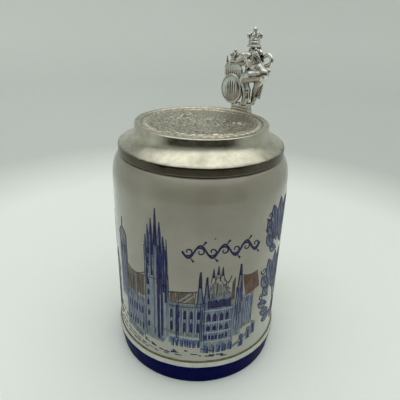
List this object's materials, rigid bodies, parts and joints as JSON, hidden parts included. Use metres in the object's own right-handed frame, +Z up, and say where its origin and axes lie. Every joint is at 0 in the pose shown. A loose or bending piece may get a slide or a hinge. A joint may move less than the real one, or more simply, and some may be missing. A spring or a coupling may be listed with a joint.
{
  "type": "beer stein",
  "caption": "Stoneware beer stein with a loop handle and a pewter lid, hinged above the handle and raised by a cast thumb lift.",
  "frame": {"origin": "centre of the base, on the surface that the stein stands on", "axes": "+Z up along the vessel's axis, +X towards the handle and the hinge, +Y the way that the lion on the thumb lift faces"},
  "size_m": [0.1312, 0.095, 0.1769],
  "materials": {
    "stoneware": "pale grey salt glaze, semi-gloss, with incised decoration in cobalt blue, ochre and brown",
    "pewter": "cast pewter, turned and brushed, with dark patina in the recesses",
    "steel": "drawn steel rod"
  },
  "bodies": {
    "vessel": {"mug_body": "stoneware", "handle": "stoneware", "handle_strap": "pewter", "hinge_stand": "pewter", "hinge_pin": "steel", "hinge_cap_left": "pewter", "hinge_cap_right": "pewter"},
    "lid_assembly": {"lid": "pewter", "lid_relief_plate": "pewter", "lid_shank": "pewter", "thumb_lift": "pewter"}
  },
  "joints": [
    {"name": "lid_hinge", "type": "hinge", "parent": "vessel", "child": "lid_assembly", "pos_m": [0.05, 0, 0.1205], "axis": [0, 1, 0], "range_deg": [0, 105]}
  ]
}
